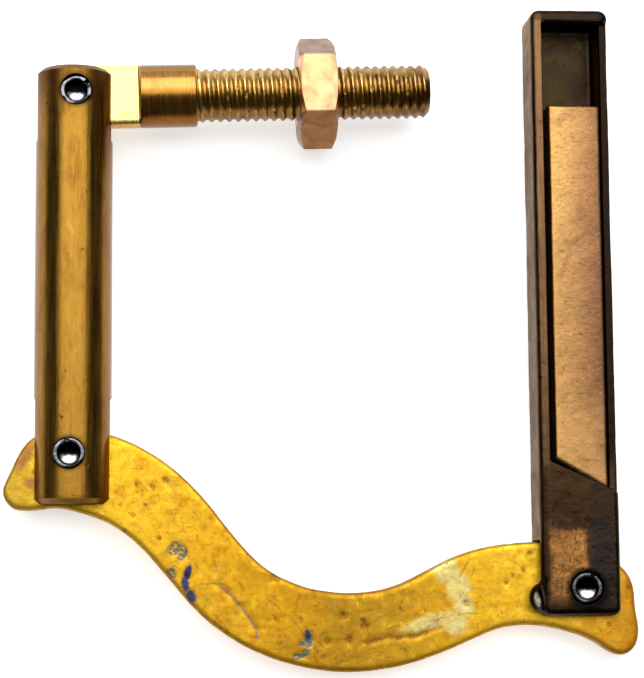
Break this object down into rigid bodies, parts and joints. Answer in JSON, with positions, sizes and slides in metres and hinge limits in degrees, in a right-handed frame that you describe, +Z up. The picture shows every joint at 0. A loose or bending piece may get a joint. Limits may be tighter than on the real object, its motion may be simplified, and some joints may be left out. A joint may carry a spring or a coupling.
{
  "type": "ground clamp",
  "caption": "Hinged metal ground clamp: a wavy saddle bar joins a slotted rod with a swing stud and nut to a channel arm that holds a flat contact bar.",
  "frame": {"origin": "centre of the bounding box's underside, on the surface that the clamp lies on", "axes": "+Z up from that surface and within 2.3 degrees of the hinge pins, +Y from the saddle bar towards the rod's and arm's upper ends, +X from the side rod towards the channel arm"},
  "size_m": [0.1102, 0.117, 0.0179],
  "materials": {
    "saddle_finish": "mottled yellow finish over a cast bar, chipped",
    "rod_brass": "turned, tarnished satin",
    "stud_brass": "machined, worn",
    "nut_brass": "machined, bright",
    "arm_bronze": "dark patina",
    "contact_brass": "rubbed bare metal",
    "pin_steel": "rolled spring steel"
  },
  "bodies": {
    "saddle": {"saddle_bar": "saddle_finish"},
    "rod": {"side_rod": "rod_brass", "lower_spring_pin": "pin_steel", "upper_spring_pin": "pin_steel"},
    "stud": {"swing_stud": "stud_brass"},
    "nut": {"hex_nut": "nut_brass"},
    "arm": {"channel_arm": "arm_bronze", "contact_bar": "contact_brass", "arm_spring_pin": "pin_steel"}
  },
  "joints": [
    {"name": "rod_hinge", "type": "hinge", "parent": "saddle", "child": "rod", "pos_m": [-0.0437, -0.02087, 0.007], "axis": [0.0122, -0.0386, 0.9992], "range_deg": [-14, 65]},
    {"name": "stud_swing", "type": "hinge", "parent": "rod", "child": "stud", "pos_m": [-0.04283, 0.04211, 0.00942], "axis": [0.0122, -0.0386, 0.9992], "range_deg": [-15, 190]},
    {"name": "nut_travel", "type": "slide", "parent": "stud", "child": "nut", "axis": [0.9994, 0.0314, -0.011], "range_m": [-0.0171, 0.016]},
    {"name": "arm_hinge", "type": "hinge", "parent": "saddle", "child": "arm", "pos_m": [0.04548, -0.04443, 0.005], "axis": [0.0122, -0.0386, 0.9992], "range_deg": [-90, 0]}
  ]
}
